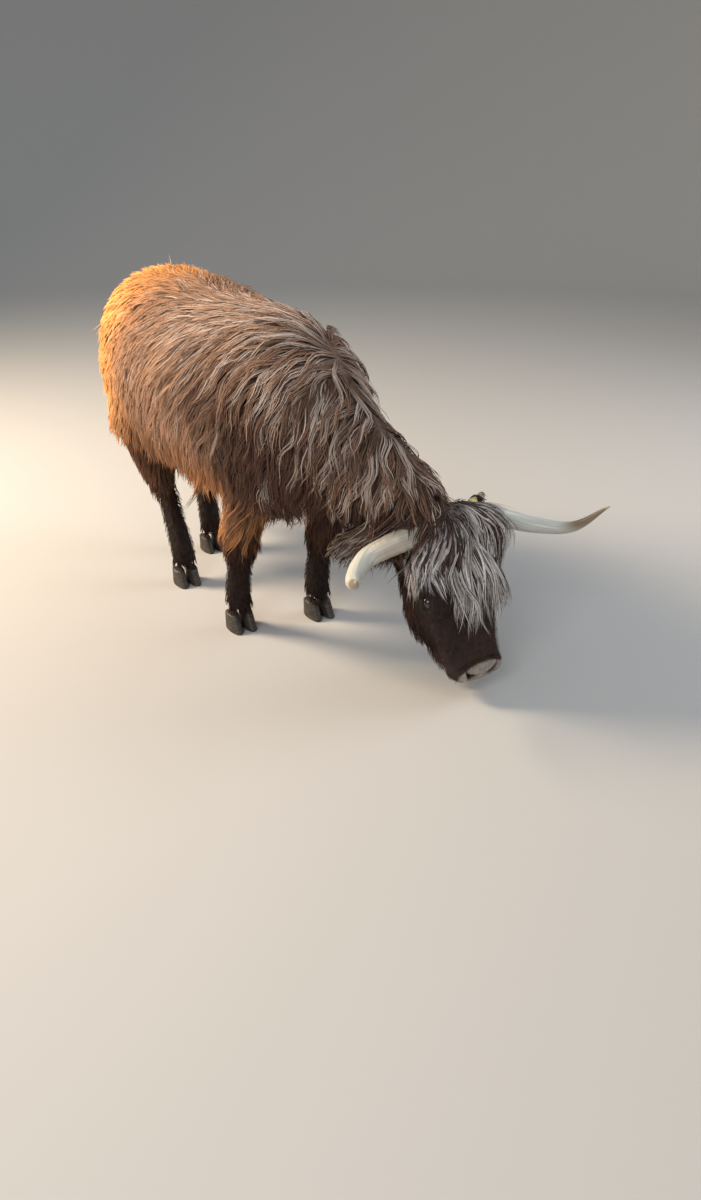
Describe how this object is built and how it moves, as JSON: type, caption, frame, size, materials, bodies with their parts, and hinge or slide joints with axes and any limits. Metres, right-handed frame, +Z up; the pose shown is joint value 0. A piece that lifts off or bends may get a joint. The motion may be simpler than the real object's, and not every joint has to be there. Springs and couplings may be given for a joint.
{
  "type": "highland cow",
  "caption": "Still life-size highland cow grazing, with long shaggy coat, wide curved horns, blond forelock and a blank ear tag.",
  "frame": {"origin": "on the floor, under the middle of the whole animal's box", "axes": "+Z up; -Y the way the trunk faces; +X the animal's left side"},
  "size_m": [1.1324, 1.986, 1.1782],
  "materials": {
    "coat": "matt",
    "dark_coat": "matt",
    "blond_coat": "matt",
    "horn": "satin",
    "hoof": "satin",
    "eye": "gloss",
    "udder_skin": "matt",
    "tag": "satin"
  },
  "bodies": {
    "root": {"head": "dark_coat", "jaw": "dark_coat", "forelock": "blond_coat", "ear_left": "dark_coat", "ear_right": "dark_coat", "horn_left": "horn", "horn_right": "horn", "eye_left": "eye", "eye_right": "eye", "ear_tag": "tag", "neck": "dark_coat", "trunk": "coat", "leg_fore_right": "dark_coat", "hoof_fore_right_inner": "hoof", "hoof_fore_right_outer": "hoof", "leg_fore_left": "dark_coat", "hoof_fore_left_inner": "hoof", "hoof_fore_left_outer": "hoof", "leg_hind_right": "dark_coat", "hoof_hind_right_inner": "hoof", "hoof_hind_right_outer": "hoof", "leg_hind_left": "dark_coat", "hoof_hind_left_inner": "hoof", "hoof_hind_left_outer": "hoof", "tail": "coat", "tail_switch": "coat", "udder": "udder_skin"}
  },
  "joints": []
}
